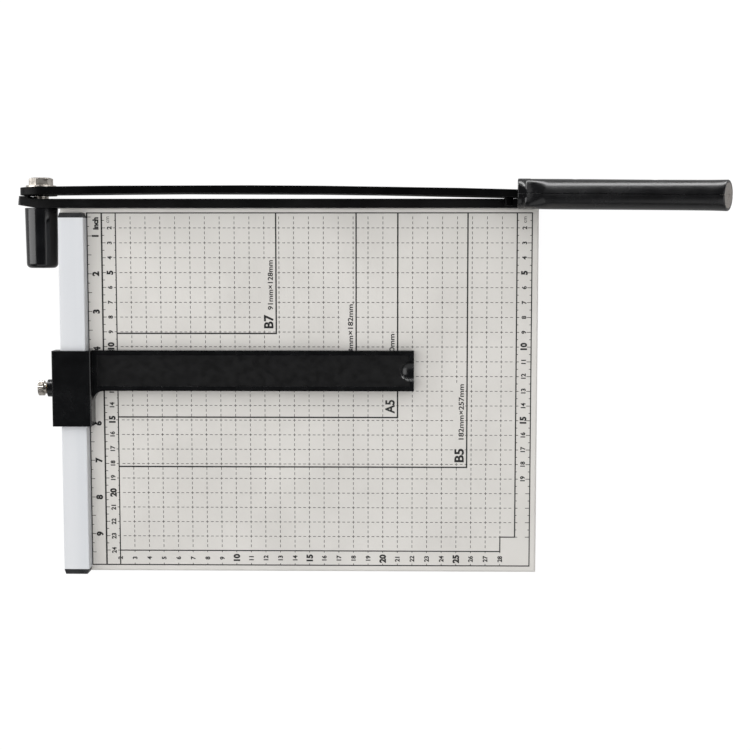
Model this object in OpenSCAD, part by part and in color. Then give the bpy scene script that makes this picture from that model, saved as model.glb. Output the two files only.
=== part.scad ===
// Desk guillotine for paper: a folded steel table, a fixed blade along its front edge,
// a bowed arm that swings down past it, a fence with end caps, and a sliding paper stop.
// Millimetres, +Z up. Before it is centred, X runs along the blades from the fence's guide
// face, Y = 0 is the cutting plane, the table lies at negative Y, and Z = 0 is the desk.

/* [Table] */
// Length of the table from the fence's guide face to its free end
table_len = 304; // [280:0.5:330]
// Depth of the table from the cutting plane to its far edge
table_dep = 253.9; // [240:0.1:270]
// Strip of table that shows outside the fence
table_margin = 1; // [0.6:0.1:2]
// Height of the folded tray, from its lips to its top
tray_h = 19; // [18:0.5:22]
// Thickness of the sheet steel
sheet_t = 1.2; // [1:0.1:1.5]
// Outside radius of the folded edges
bend_r = 2; // [1.6:0.1:2.6]
// Width of the returned lips that carry the feet
lip_w = 24; // [22:0.5:28]
// Gap between two flanges at a folded corner
corner_slit = 0.8; // [0.6:0.1:1.2]

/* [Feet] */
// Height of a rubber foot below the lip
foot_h = 7; // [6:0.5:9]
// Diameter of a foot at the lip
foot_d = 20; // [17:0.5:22]
// Diameter of a foot at the desk
foot_base_d = 17; // [15:0.5:18]
// Distance of a foot's centre from the table's short edges
foot_inset = 24; // [18:0.5:40]
// Diameter of the small screws in the feet, the fence and the clamp
screw_d = 4; // [3.5:0.1:4.5]

/* [Fixed blade] */
// Thickness of the fixed blade
bar_t = 6; // [5:0.1:7]
// Height of the fixed blade
bar_h = 23; // [22:0.5:24]
// Radius of the ear's lower corner
ear_r = 9; // [7:0.5:10]
// Radius of the ear's upper corner
ear_top_r = 2; // [1:0.5:4]
// Distance from the pivot to the ear's end
ear_reach = 13.3; // [12.5:0.1:14]
// Angle at which the ear's rear face runs forward to its end
ear_slant = 9.6; // [6:0.2:12]
// Clearance between the pad on the ear's tip and the heel that it guides
ear_pad_gap = 0.33; // [0.3:0.01:0.5]
// Diameter of the blade screws
blade_screw_d = 5; // [4:0.5:6]
// Distance of the outer blade screws from the ends of the table
blade_screw_inset = 22; // [16:1:40]

/* [Arm] */
// Thickness of the arm
arm_t = 4.9; // [4:0.1:5.5]
// Height of the arm's back above the table when it is closed
arm_rise = 17; // [15:0.5:19]
// Depth of the cutting edge below the table when the arm is closed
arm_dip = 12; // [9:0.5:14]
// Radius of the heel round the pivot
heel_r = 10.7; // [9.8:0.1:11]
// Radius of the arm's rear upper corner
heel_corner_r = 17; // [14:0.5:20]
// Radius of the corner at the free end of the edge
toe_r = 7; // [4:0.5:9]
// Widest gap between the bowed arm and the fixed blade
bow_gap = 3.3; // [2.8:0.1:3.8]
// Place of that widest gap along the table
bow_x = 84.5; // [70:0.5:100]
// Gap that is left where the arm enters the handle
tip_gap = 0.54; // [0.4:0.02:0.8]
// Height of the ground bevel
bevel_h = 7; // [5:0.5:9]
// Flat that is left at the cutting edge
edge_land = 0.8; // [0.5:0.1:1.2]

/* [Pivot] */
// Distance of the pivot behind the fence's guide face
pivot_back = 32.9; // [31:0.1:36]
// Depth of the pivot below the table top
pivot_drop = 11; // [10.5:0.1:11.5]
// Diameter of the pivot bolt
bolt_d = 8; // [7:0.5:8.5]
// Width across the flats of the bolt head and the lock nut
bolt_af = 14; // [12:0.5:14.5]
// Angle at which the bolt head came to rest when it was tightened
bolt_turn = 19; // [0:1:59]
// Height of the bolt head
bolt_head_h = 5.2; // [4.5:0.1:6]
// Diameter of the outer washer
washer_d = 20; // [18:0.5:21]
// Thickness of the outer washer
washer_t = 1.7; // [1.4:0.1:2.2]
// Diameter of the spacer between the arm and the fixed blade
spacer_d = 10; // [9.6:0.1:11]
// How far the arm's pivot boss stands proud of each face
boss_proud = 0.2; // [0.18:0.01:0.3]
// Length of the spring cap
cap_len = 40.5; // [40:0.5:46]
// Diameter of the spring cap at its mouth
cap_d = 22; // [21:0.1:24]
// Diameter of the spring cap at its closed end
cap_tip_d = 20.8; // [20:0.1:21]
// Wall of the spring cap
cap_wall = 1.6; // [1.2:0.1:1.8]
// Outer diameter of the spring
spring_d = 14.4; // [13.5:0.1:15]
// Diameter of the spring wire
wire_d = 2.2; // [1.8:0.1:2.4]
// Length of the spring under load
spring_len = 19.5; // [19:0.5:20]
// Turns of the spring
spring_turns = 6; // [4:1:6]
// Thickness of the seat that the cap is pushed over
seat_t = 4; // [3:0.5:4.5]
// Thickness of the washer under the lock nut
nut_washer_t = 1.6; // [1.2:0.1:2]
// Diameter of the washer under the lock nut
nut_washer_d = 16; // [15:0.5:16.5]
// Height of the lock nut
lock_nut_h = 8; // [7:0.5:8.5]
// Bolt end that shows past the lock nut
bolt_tail = 2; // [1:0.5:2.5]

/* [Rest pin] */
// Diameter of the pin that rests on the fixed blade
rest_pin_d = 6; // [5:0.1:7]
// Distance of that pin before the handle
rest_pin_lead = 4.1; // [3.8:0.1:8]

/* [Handle] */
// How far the handle's collar starts before the table's free end
collar_setback = 16.7; // [12:0.1:24]
// Length of the collar along the arm
collar_len = 9.6; // [8:0.1:12]
// Width of the collar
collar_w = 19.8; // [19:0.1:22]
// Height of the collar
collar_h = 25.6; // [23:0.1:28]
// Radius of the collar's edges
collar_r = 2.4; // [1.5:0.1:3]
// Tilt of the grip above the table
grip_tilt = 29; // [20:0.5:35]
// Turn of the grip towards the table, which follows the bowed arm
grip_yaw = 1.7; // [1:0.1:2]
// Length of the grip from the collar's middle to its end
grip_len = 136.6; // [120:0.1:150]
// Radius of the grip behind the collar
grip_r = 9.2; // [8.8:0.1:9.6]
// Radius of the grip's waist
waist_r = 8.7; // [8.4:0.1:9.2]
// Radius of the grip's end
end_r = 9.75; // [9.3:0.05:10.5]
// Height of the tang inside the grip
tang_h = 11; // [9:0.5:12]
// Thickness of the tang
tang_t = 4; // [3:0.1:4.5]
// Length of the tang from the collar's middle
tang_len = 108; // [95:1:112]
// Diameter of the plug in the grip's end
plug_d = 16; // [14:0.5:17]
// Thickness of the plug's face
plug_t = 3; // [2:0.5:4]

/* [Fence] */
// Width of the fence rail
rail_w = 17; // [15:0.5:17]
// Height of the fence rail
rail_h = 10; // [9:0.1:11]
// Wall of the fence rail
rail_wall = 1.4; // [1.2:0.1:1.8]
// Width of the solid core that takes the screws
rail_core_w = 6; // [5.5:0.1:7]
// Gap between the near cap and the cutting plane
rail_start = 9.5; // [8:0.1:12]
// Thickness of the end caps
rail_cap_t = 3.3; // [2.5:0.1:4]
// Slope of the caps' corners across their thickness
rail_cap_taper = 1.2; // [0.8:0.1:2]
// Length of the pegs that hold a cap in the rail
rail_peg_len = 10; // [6:1:14]

/* [Paper stop] */
// Distance of the stop's front edge from the cutting plane
stop_y = 101.6; // [90:0.1:130]
// Length of the block that rides on the fence
stop_block_len = 50.9; // [45:0.1:56]
// Height of the block above the table
stop_block_h = 14; // [13.4:0.1:16]
// Wall of the block outside the fence
stop_wall_out = 4.85; // [4.4:0.05:5.5]
// Wall of the block on the table side
stop_wall_in = 3.75; // [3:0.05:4.5]
// Reach of the stop's bar past the fence's guide face
stop_reach = 220.5; // [180:0.5:260]
// Width of the bar
stop_bar_w = 27.3; // [24:0.1:32]
// Height of the bar above the table
stop_bar_h = 8; // [7:0.1:9]
// Wall of the hollow bar
stop_skin = 2.2; // [1.8:0.1:2.6]
// Width of the raised rims along the bar
stop_rim_w = 3; // [2:0.1:4]
// Height of the raised rims
stop_rim_h = 0.6; // [0.4:0.1:1]
// Radius of the fillet between the bar and the block
stop_fillet_r = 7.4; // [5:0.1:9]
// Radius of the thumb scoop in the bar's end
scoop_r = 7.15; // [6:0.05:8.5]
// Number of stiffening ribs under the bar
stop_ribs = 5; // [3:1:8]
// Spacing of the finger grooves on the block
groove_pitch = 7.7; // [6:0.1:9]
// Width of a finger groove
groove_w = 1.2; // [0.8:0.1:1.6]

/* [Clamp screw] */
// Distance of the clamp screw from the stop's front edge
clamp_back = 25.7; // [22:0.1:28]
// Height of the clamp screw above the table
clamp_z = 5; // [4.6:0.1:5.4]
// Diameter of the boss round the clamp screw
clamp_boss_d = 11.7; // [10:0.1:12.5]
// Length of that boss
clamp_boss_len = 4.2; // [3:0.1:6]
// Diameter of the knurled head
knob_d = 10.2; // [9:0.1:10.4]
// Thickness of the knurled head
knob_t = 3.7; // [3:0.1:5]
// Teeth round the knurled head
knob_teeth = 24; // [16:1:36]
// Diameter of the hub below the head
knob_hub_d = 7.6; // [6.5:0.1:8]
// Outer diameter of the threaded insert
insert_d = 6.6; // [6:0.1:7]
// Diameter of the swivel pad that presses on the fence
pad_d = 6.6; // [6:0.1:7]
// Thickness of the swivel pad
pad_t = 1.4; // [1:0.1:1.8]

/* [Hidden] */
$fn = 64;

// Clearances and overruns
over = 0.5;
fit = 0.05;
seat_gap = 0.2;
slide_gap = 0.35;
hole_gap = 0.2;

// Heights and edges of the table
table_z = foot_h + tray_h;
tray_x0 = -rail_w - table_margin;
tray_len = table_len - tray_x0;
tray_w = table_dep - bar_t;
collar_x = table_len - collar_setback;
sheet_low_z = table_z - sheet_t;
lip_top_z = foot_h + sheet_t;

// Small screws and nuts
pan_d = 2 * screw_d;
pan_h = 2.6;
drive_w = 1;
drive_h = 1.2;
nut_af = 7;
nut_h = 3.2;
foot_recess_d = pan_d + 4 * hole_gap;
foot_recess_h = 3.8;
foot_screw_rise = foot_h - foot_recess_h + sheet_t + nut_h;
foot_xs = [tray_x0 + foot_inset, table_len - foot_inset];
foot_ys = [-bar_t - lip_w / 2, -table_dep + lip_w / 2];

// Blade screws, counted along the table
blade_screw_count = 4;
csk_share = 1.8;
csk_d = csk_share * blade_screw_d;
csk_h = (csk_d - blade_screw_d) / 2;
blade_nut_af = 8;
blade_nut_h = 4;
blade_screw_tail = 1.5;
blade_screw_z = table_z - pivot_drop;

// Pivot, from the outside in: head, washer, boss, spacer, ear, seat, spring, washer, nut
pivot_x = -pivot_back;
pivot_z = table_z - pivot_drop;
ear_x = pivot_x - ear_reach;
ear_slant_x = pivot_x - bolt_d / 4;
ear_end_lean = 1;
bar_z = table_z - bar_h;
bow_r = pow(collar_x - bow_x, 2) / (2 * (bow_gap - tip_gap));
boss_in = bow_face(pivot_x) - boss_proud;
boss_out = boss_in + arm_t + 2 * boss_proud;
washer_y = boss_out + fit;
head_y = washer_y + washer_t + fit;
seat_y = -bar_t;
spring_y = seat_y - seat_t - fit;
nut_washer_y = spring_y - spring_len - fit;
lock_nut_y = nut_washer_y - nut_washer_t - fit;
bolt_end_y = lock_nut_y - lock_nut_h - bolt_tail;
cap_round = 3;
head_chamfer_share = 0.12;
spring_rings = 8;
spring_sides = 6;

// Rest pin
rest_pin_x = collar_x - rest_pin_lead;
rest_pin_z = table_z + seat_gap + rest_pin_d / 2;
rest_pin_overlap = 5;

// Handle
collar_lift = 0.8;
collar_mid_x = collar_x + collar_len / 2;
grip_y = 2.5;
grip_z = table_z + collar_lift + collar_h / 2;
neck_len = 20;
neck_steps = 6;
neck_inset = 0.6;
neck_square_n = 5;
waist_share = 0.8;
grip_steps = 14;
grip_sides = 40;
end_round = 0.8;
grip_screw_shares = [0.27, 0.66];
grip_screw_len = 13;
grip_head_y = 7.5;
grip_screw_drop = 2;
plug_stem_d = 8;
plug_stem_len = 9;
plug_mark_w = 1;
plug_mark_len_share = 0.45;
plug_mark_h = 0.6;
bow_fn = 3600;

// Fence
rail_y0 = -rail_start - rail_cap_t;
rail_y1 = -table_dep + rail_cap_t;
rail_floor = 2.4;
rail_round = 0.8;
rail_hollow_w = (rail_w - 2 * rail_wall - rail_core_w) / 2;
rail_hollow_h = rail_h - rail_floor - rail_wall;
fence_screw_count = 3;
fence_screw_rise = 7;
fence_screw_margin = 40;

// Paper stop
stop_z = table_z + slide_gap;
stop_out_x = -rail_w - slide_gap - stop_wall_out;
stop_in_x = slide_gap + stop_wall_in;
stop_round = 1;
groove_depth = 0.4;
groove_count = 5;
groove_margin_share = 0.14;
rib_t = 1.6;
rib_lift = 1;
scoop_depth = 10;
scoop_ball_share = 1.2;
scoop_ball_r = scoop_ball_share * scoop_r;
scoop_lift = sqrt(pow(scoop_ball_r, 2) - pow(scoop_r, 2));

// Clamp
clamp_y = -stop_y - clamp_back;
clamp_axis_z = table_z + clamp_z;
boss_x = stop_out_x - clamp_boss_len;
insert_len = 5.2;
pad_x = -rail_w - seat_gap;
pad_travel = 1.4;
knob_gap = 1;
knob_hub_t = 1.7;
knob_tooth_h = 0.35;
shank_end_x = pad_x - pad_t / 2;
tip_d = 2.4;

// The model is centred on its outline, from the ear to the handle and from the table's far
// edge to the bolt head
reach_x = collar_mid_x + grip_len * cos(grip_tilt) * cos(grip_yaw) + end_r * sin(grip_tilt);
centre_x = (reach_x + ear_x) / 2;
centre_y = (head_y + bolt_head_h - table_dep) / 2;

// Place of the arm's inner face: an arc whose widest gap lies at bow_x
function bow_face(x) = bow_gap - bow_r + sqrt(bow_r * bow_r - pow(x - bow_x, 2));
function blade_screw_x(i) = blade_screw_inset
    + i * (table_len - 2 * blade_screw_inset) / (blade_screw_count - 1);
function fence_screw_y(i) = rail_y0 - fence_screw_margin
    + i * (rail_y1 - rail_y0 + 2 * fence_screw_margin) / (fence_screw_count - 1);

module at_origin() {
    translate([-centre_x, -centre_y, 0]) children();
}

// A round bar along -Y that starts at y
module bar_y(d, y, len) {
    translate([0, y, 0]) rotate([90, 0, 0]) cylinder(d = d, h = len);
}

// A round bar along -X that starts at x
module bar_x(d, x, len) {
    translate([x, 0, 0]) rotate([0, -90, 0]) cylinder(d = d, h = len);
}

// A profile drawn in X and Z, drawn out along -Y from y
module extrude_y(y, len) {
    translate([0, y, 0]) rotate([90, 0, 0]) linear_extrude(len) children();
}

// A rectangle with its two upper corners rounded
module arch(w, h, r) {
    square([w, h - r]);
    translate([r, 0]) square([w - 2 * r, h]);
    translate([r, h - r]) circle(r);
    translate([w - r, h - r]) circle(r);
}

module hex_prism(af, h) {
    cylinder(d = af / cos(30), h = h, $fn = 6);
}

// A pan-head screw that points up from z = 0 under its head
module pan_screw(rise) {
    difference() {
        union() {
            translate([0, 0, -pan_h]) cylinder(d1 = pan_d - pan_h / 2, d2 = pan_d, h = pan_h);
            cylinder(d = screw_d, h = rise);
        }
        for (a = [0, 90])
            rotate([0, 0, a])
                translate([-pan_d / 4, -drive_w / 2, -pan_h - over])
                    cube([pan_d / 2, drive_w, drive_h + over]);
    }
}

// The block that the tray is folded round, drawn in by the sheet for its inside
module tray_block(draw, low_z, r) {
    intersection() {
        translate([tray_x0 + draw, 0, 0])
            rotate([90, 0, 90])
                linear_extrude(tray_len - 2 * draw)
                    translate([-table_dep + draw, low_z])
                        arch(tray_w - 2 * draw, table_z - draw - low_z, r);
        extrude_y(-bar_t - draw, tray_w - 2 * draw)
            translate([tray_x0 + draw, low_z])
                arch(tray_len - 2 * draw, table_z - draw - low_z, r);
    }
}

// Sheet steel table, folded down on four sides, with a returned lip along each long side
module base_plate() color("#cfccc6") at_origin() {
    difference() {
        tray_block(0, foot_h, bend_r);
        tray_block(sheet_t, lip_top_z, bend_r - sheet_t);
        translate([tray_x0 + sheet_t, -table_dep + lip_w, foot_h - over])
            cube([tray_len - 2 * sheet_t, tray_w - 2 * lip_w, sheet_t + 2 * over]);
        for (x = [tray_x0 - over, table_len - sheet_t])
            for (y = [-bar_t - sheet_t - corner_slit, -table_dep + sheet_t])
                translate([x, y, foot_h - over])
                    cube([sheet_t + over, corner_slit, tray_h - bend_r - sheet_t + over]);
        for (x = [tray_x0 + sheet_t, table_len - sheet_t - corner_slit])
            for (y = [-bar_t - lip_w - over, -table_dep + sheet_t])
                translate([x, y, foot_h - over])
                    cube([corner_slit, lip_w - sheet_t + over, sheet_t + 2 * over]);
        for (x = foot_xs)
            for (y = foot_ys)
                translate([x, y, foot_h - over])
                    cylinder(d = screw_d + 2 * hole_gap, h = sheet_t + 2 * over);
        for (i = [0 : blade_screw_count - 1])
            translate([blade_screw_x(i), 0, blade_screw_z])
                bar_y(blade_screw_d + 2 * hole_gap, -bar_t + over, sheet_t + 2 * over);
        for (i = [0 : fence_screw_count - 1])
            translate([-rail_w / 2, fence_screw_y(i), sheet_low_z - over])
                cylinder(d = screw_d + 2 * hole_gap, h = sheet_t + 2 * over);
    }
}

// Tapered rubber feet, recessed for their screws
module rubber_feet() color("#1d1d1f") at_origin() {
    for (x = foot_xs)
        for (y = foot_ys)
            translate([x, y, 0])
                difference() {
                    cylinder(d1 = foot_base_d, d2 = foot_d, h = foot_h);
                    translate([0, 0, -over])
                        cylinder(d = foot_recess_d, h = foot_recess_h + over);
                    cylinder(d = screw_d + 2 * fit, h = foot_h + over);
                }
}

module foot_screws() color("#a9a9a6") at_origin() {
    for (x = foot_xs)
        for (y = foot_ys)
            translate([x, y, foot_recess_h]) pan_screw(foot_screw_rise);
}

module foot_nuts() color("#b3b2ae") at_origin() {
    for (x = foot_xs)
        for (y = foot_ys)
            translate([x, y, lip_top_z])
                difference() {
                    hex_prism(nut_af, nut_h);
                    translate([0, 0, -over]) cylinder(d = screw_d + 2 * fit, h = nut_h + 2 * over);
                }
}

// Side view of the fixed blade, with the ear that carries the pivot
module fixed_blade_profile() {
    translate([ear_x, bar_z + ear_r]) square([ear_r, bar_h - ear_r - ear_top_r]);
    translate([ear_x + ear_r, bar_z]) square([table_len - ear_x - ear_r, bar_h - ear_top_r]);
    translate([ear_x + ear_top_r, table_z - ear_top_r])
        square([table_len - ear_x - ear_top_r, ear_top_r]);
    translate([ear_x + ear_r, bar_z + ear_r]) circle(ear_r);
    translate([ear_x + ear_top_r, table_z - ear_top_r]) circle(ear_top_r);
}

// Plan of the fixed blade: the ear's tip runs forward, and a pad on it guides the heel
module fixed_blade_plan() {
    pad_y = boss_in - ear_pad_gap;
    pad_x = pivot_x - spacer_d / 2 - fit - pad_y;
    polygon([[table_len, 0], [table_len, -bar_t], [ear_slant_x, -bar_t],
        [ear_x, (ear_slant_x - ear_x) * tan(ear_slant) - bar_t],
        [ear_x + ear_end_lean, pad_y], [pad_x, pad_y], [pad_x + pad_y, 0]]);
}

// Fixed blade: a flat bar with a forged ear
module fixed_blade() color("#19191b") at_origin() {
    difference() {
        intersection() {
            extrude_y(bar_t, 3 * bar_t) fixed_blade_profile();
            translate([0, 0, bar_z - over]) linear_extrude(bar_h + 2 * over) fixed_blade_plan();
        }
        translate([pivot_x, 0, pivot_z]) bar_y(bolt_d + 2 * fit, over, bar_t + 2 * over);
        for (i = [0 : blade_screw_count - 1])
            translate([blade_screw_x(i), 0, blade_screw_z]) {
                bar_y(blade_screw_d + 2 * fit, over, bar_t + 2 * over);
                rotate([90, 0, 0])
                    cylinder(d1 = csk_d + 2 * fit, d2 = blade_screw_d + 2 * fit, h = csk_h);
            }
    }
}

// Countersunk screws that hold the fixed blade to the table
module blade_screws() color("#8f8f8c") at_origin() {
    for (i = [0 : blade_screw_count - 1])
        translate([blade_screw_x(i), 0, blade_screw_z])
            difference() {
                union() {
                    rotate([90, 0, 0]) cylinder(d1 = csk_d, d2 = blade_screw_d, h = csk_h);
                    bar_y(blade_screw_d, 0, bar_t + sheet_t + blade_nut_h + blade_screw_tail);
                }
                for (a = [0, 90])
                    rotate([0, a, 0])
                        translate([-csk_d / 4, -drive_h, -drive_w / 2])
                            cube([csk_d / 2, drive_h + over, drive_w]);
            }
}

module blade_nuts() color("#a3a3a0") at_origin() {
    for (i = [0 : blade_screw_count - 1])
        translate([blade_screw_x(i), -bar_t - sheet_t, blade_screw_z])
            rotate([90, 0, 0])
                difference() {
                    hex_prism(blade_nut_af, blade_nut_h);
                    translate([0, 0, -over])
                        cylinder(d = blade_screw_d + 2 * fit, h = blade_nut_h + 2 * over);
                }
}

// Section of the fence: a hollow extrusion with a solid core for its screws
module rail_profile() {
    difference() {
        arch(rail_w, rail_h, rail_round);
        for (x = [rail_wall, rail_w - rail_wall - rail_hollow_w])
            translate([x, rail_floor]) square([rail_hollow_w, rail_hollow_h]);
    }
}

module fence_rail() color("#dfe3e8") at_origin() {
    difference() {
        extrude_y(rail_y0, rail_y0 - rail_y1) translate([-rail_w, table_z]) rail_profile();
        for (i = [0 : fence_screw_count - 1])
            translate([-rail_w / 2, fence_screw_y(i), table_z - over])
                cylinder(d = screw_d + 2 * fit, h = fence_screw_rise + over);
    }
}

// End cap of the fence, drawn as the near one: a tapered plate with two pegs
module fence_cap() {
    intersection() {
        translate([-rail_w, -rail_start, 0])
            linear_extrude(table_z + rail_h)
                polygon([[0, -rail_cap_t], [rail_w, -rail_cap_t],
                    [rail_w - rail_cap_taper, 0], [rail_cap_taper, 0]]);
        extrude_y(-rail_start + over, rail_cap_t + 2 * over)
            translate([-rail_w, table_z]) arch(rail_w, rail_h, rail_round);
    }
    for (x = [-rail_w + rail_wall, -rail_wall - rail_hollow_w])
        translate([x + fit, rail_y0 - rail_peg_len, table_z + rail_floor + fit])
            cube([rail_hollow_w - 2 * fit, rail_peg_len, rail_hollow_h - 2 * fit]);
}

module fence_cap_near() color("#222325") at_origin() fence_cap();

module fence_cap_far() color("#222325") at_origin() {
    translate([0, -rail_start - table_dep, 0]) mirror([0, 1, 0]) fence_cap();
}

module fence_screws() color("#a9a9a6") at_origin() {
    for (i = [0 : fence_screw_count - 1])
        translate([-rail_w / 2, fence_screw_y(i), sheet_low_z])
            pan_screw(sheet_t + fence_screw_rise - seat_gap);
}

// Hexagon head bolt: the arm turns on its shank
module pivot_bolt() color("#b9b4aa") at_origin() {
    corner_d = bolt_af / cos(30);
    chamfer = head_chamfer_share * corner_d;
    translate([pivot_x, 0, pivot_z]) {
        bar_y(bolt_d, head_y, head_y - bolt_end_y);
        translate([0, head_y + bolt_head_h, 0])
            rotate([90, 0, 0])
                intersection() {
                    rotate([0, 0, -bolt_turn]) hex_prism(bolt_af, bolt_head_h);
                    union() {
                        cylinder(d1 = corner_d - 2 * chamfer, d2 = corner_d + 2 * over, h = chamfer / 2);
                        translate([0, 0, chamfer / 2])
                            cylinder(d = corner_d + 2 * over, h = bolt_head_h - chamfer / 2);
                    }
                }
    }
}

// A flat ring on the pivot that starts at y and runs along -Y
module pivot_ring(d, y, len) {
    translate([pivot_x, 0, pivot_z])
        difference() {
            bar_y(d, y, len);
            bar_y(bolt_d + 2 * fit, y + over, len + 2 * over);
        }
}

module pivot_washer() color("#c2bdb3") at_origin() {
    pivot_ring(washer_d, washer_y + washer_t, washer_t);
}

module pivot_spacer() color("#c9c9c9") at_origin() {
    pivot_ring(spacer_d, boss_in - fit, boss_in - fit);
}

// Disc that the spring presses on and the cap is pushed over
module spring_seat() color("#8d8d8b") at_origin() {
    pivot_ring(cap_d - 2 * cap_wall - 4 * fit, seat_y, seat_t);
}

// Compression spring: one tube wound round the bolt
spring_mean_r = (spring_d - wire_d) / 2;
spring_pitch = (spring_len - wire_d) / spring_turns;
spring_count = spring_turns * spring_rings;
function spring_centre(i) = [
    spring_mean_r * cos(360 * i / spring_rings),
    -wire_d / 2 - spring_pitch * i / spring_rings,
    spring_mean_r * sin(360 * i / spring_rings)];
function spring_ring(i) = [for (k = [0 : spring_sides - 1])
    let (out = wire_d / 2 * cos(360 * k / spring_sides),
        along = wire_d / 2 * sin(360 * k / spring_sides))
    spring_centre(i) + [out * cos(360 * i / spring_rings), along,
        out * sin(360 * i / spring_rings)]];
spring_gap = min([for (i = [0 : spring_count]) for (j = [i + spring_rings / 2 : spring_count])
    norm(spring_centre(i) - spring_centre(j)) - wire_d]);
echo(spring_least_gap = spring_gap);

module pivot_spring() color("#9b9b98") at_origin() {
    points = [for (i = [0 : spring_count]) each spring_ring(i)];
    walls = [for (i = [0 : spring_count - 1]) for (k = [0 : spring_sides - 1])
        let (a = i * spring_sides + k,
            b = i * spring_sides + (k + 1) % spring_sides)
        each [[a, b, b + spring_sides], [a, b + spring_sides, a + spring_sides]]];
    first = [for (k = [1 : spring_sides - 2]) [0, k + 1, k]];
    last = [for (k = [1 : spring_sides - 2]) spring_count * spring_sides * [1, 1, 1]
        + [0, k, k + 1]];
    translate([pivot_x, spring_y, pivot_z]) polyhedron(points, concat(walls, first, last));
}

module spring_washer() color("#a9a9a6") at_origin() {
    pivot_ring(nut_washer_d, nut_washer_y, nut_washer_t);
}

module lock_nut() color("#b3b2ae") at_origin() {
    translate([pivot_x, lock_nut_y, pivot_z])
        rotate([90, 0, 0])
            difference() {
                hex_prism(bolt_af, lock_nut_h);
                translate([0, 0, -over]) cylinder(d = bolt_d + 2 * fit, h = lock_nut_h + 2 * over);
            }
}

// Moulded cap over the spring: tapered, closed and rounded at its free end
module spring_cap() color("#151517") at_origin() {
    mouth_r = cap_d / 2;
    tip_r = cap_tip_d / 2;
    translate([pivot_x, seat_y, pivot_z])
        rotate([90, 0, 0])
            rotate_extrude() {
                polygon([[mouth_r - cap_wall, 0], [mouth_r, 0],
                    [tip_r, cap_len - cap_round], [tip_r - cap_wall, cap_len - cap_round]]);
                translate([0, cap_len - cap_wall]) square([tip_r - cap_round, cap_wall]);
                translate([tip_r - cap_round, cap_len - cap_round])
                    intersection() {
                        difference() {
                            circle(cap_round);
                            circle(cap_round - cap_wall);
                        }
                        square(cap_round);
                    }
            }
}

// Sweeps a section, drawn as radius and height, along the arm's bow between two places
module bow_sweep(from_x, to_x) {
    from_a = asin((from_x - bow_x) / bow_r);
    to_a = asin((to_x - bow_x) / bow_r);
    translate([bow_x, bow_gap - bow_r, 0])
        rotate([0, 0, 90 - to_a])
            rotate_extrude(angle = to_a - from_a, $fn = bow_fn) children();
}

// Side view of the arm without its tang
module arm_profile() {
    heel_x = pivot_x - heel_r;
    edge_z = table_z - arm_dip;
    back_z = table_z + arm_rise;
    end_x = collar_x + collar_len;
    translate([pivot_x, pivot_z]) circle(heel_r);
    translate([heel_x, pivot_z]) square([2 * heel_r, back_z - heel_corner_r - pivot_z]);
    translate([heel_x + heel_corner_r, back_z - heel_corner_r])
        intersection() {
            circle(heel_corner_r);
            translate([-heel_corner_r, 0]) square(heel_corner_r);
        }
    translate([heel_x + heel_corner_r, edge_z])
        square([end_x - toe_r - heel_x - heel_corner_r, back_z - edge_z]);
    translate([end_x - toe_r, edge_z + toe_r]) circle(toe_r);
    translate([end_x - toe_r, edge_z + toe_r]) square([toe_r, back_z - edge_z - toe_r]);
}

// Places children at the collar's middle, with X along the grip
module on_grip() {
    translate([collar_mid_x, grip_y, grip_z])
        rotate([0, -grip_tilt, -grip_yaw])
            children();
}

module tang(gap) {
    on_grip()
        translate([0, -tang_t / 2 - gap, -tang_h / 2 - gap])
            cube([tang_len + gap, tang_t + 2 * gap, tang_h + 2 * gap]);
}

module grip_screw_places() {
    on_grip()
        for (s = grip_screw_shares)
            translate([s * grip_len, 0, -grip_screw_drop]) children();
}

// Flat steel arm, bowed away from the fixed blade, with a ground edge and a tang
module blade_arm() color("#17171a") at_origin() {
    edge_z = table_z - arm_dip;
    slope = bevel_h / (arm_t - edge_land);
    difference() {
        union() {
            intersection() {
                bow_sweep(pivot_x - 2 * heel_r, collar_x + 2 * collar_len)
                    translate([bow_r, 0]) square([arm_t, table_z + 2 * arm_rise]);
                extrude_y(bow_gap + 2 * arm_t, 4 * arm_t) arm_profile();
            }
            translate([pivot_x, 0, pivot_z]) bar_y(2 * heel_r, boss_out, boss_out - boss_in);
            tang(0);
        }
        bow_sweep(pivot_x + heel_r, collar_x + 2 * collar_len)
            translate([bow_r, 0])
                polygon([[edge_land, edge_z], [arm_t, edge_z + bevel_h],
                    [arm_t + over, edge_z + bevel_h + slope * over],
                    [arm_t + over, edge_z - over], [edge_land, edge_z - over]]);
        translate([pivot_x, 0, pivot_z])
            bar_y(bolt_d + 2 * fit, boss_out + over, boss_out - boss_in + 2 * over);
        translate([rest_pin_x, 0, rest_pin_z])
            bar_y(rest_pin_d + 2 * fit, bow_gap + 2 * arm_t, 3 * arm_t);
        grip_screw_places() bar_y(screw_d + 2 * hole_gap, tang_t, 2 * tang_t);
    }
}

// Pin through the arm that comes to rest on top of the fixed blade
module rest_pin() color("#1b1b1d") at_origin() {
    rest_pin_y = bow_face(rest_pin_x) + arm_t;
    translate([rest_pin_x, 0, rest_pin_z])
        bar_y(rest_pin_d, rest_pin_y, rest_pin_y + rest_pin_overlap);
}

// Radius of the grip at a share of its length: a slow waist, then a flare at the end
function grip_radius(u) = u < waist_share
    ? grip_r + (waist_r - grip_r) * (1 - cos(180 * u / waist_share)) / 2
    : waist_r + (end_r - waist_r) * pow((u - waist_share) / (1 - waist_share), 2);

// Upright collar block with rounded edges
module collar_block() {
    translate([collar_x + collar_r, grip_y, table_z + collar_lift + collar_r])
        hull()
            for (x = [0, collar_len - 2 * collar_r])
                for (y = [-1, 1])
                    for (z = [0, collar_h - 2 * collar_r])
                        translate([x, y * (collar_w / 2 - collar_r), z])
                            sphere(collar_r, $fn = 24);
}

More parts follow.
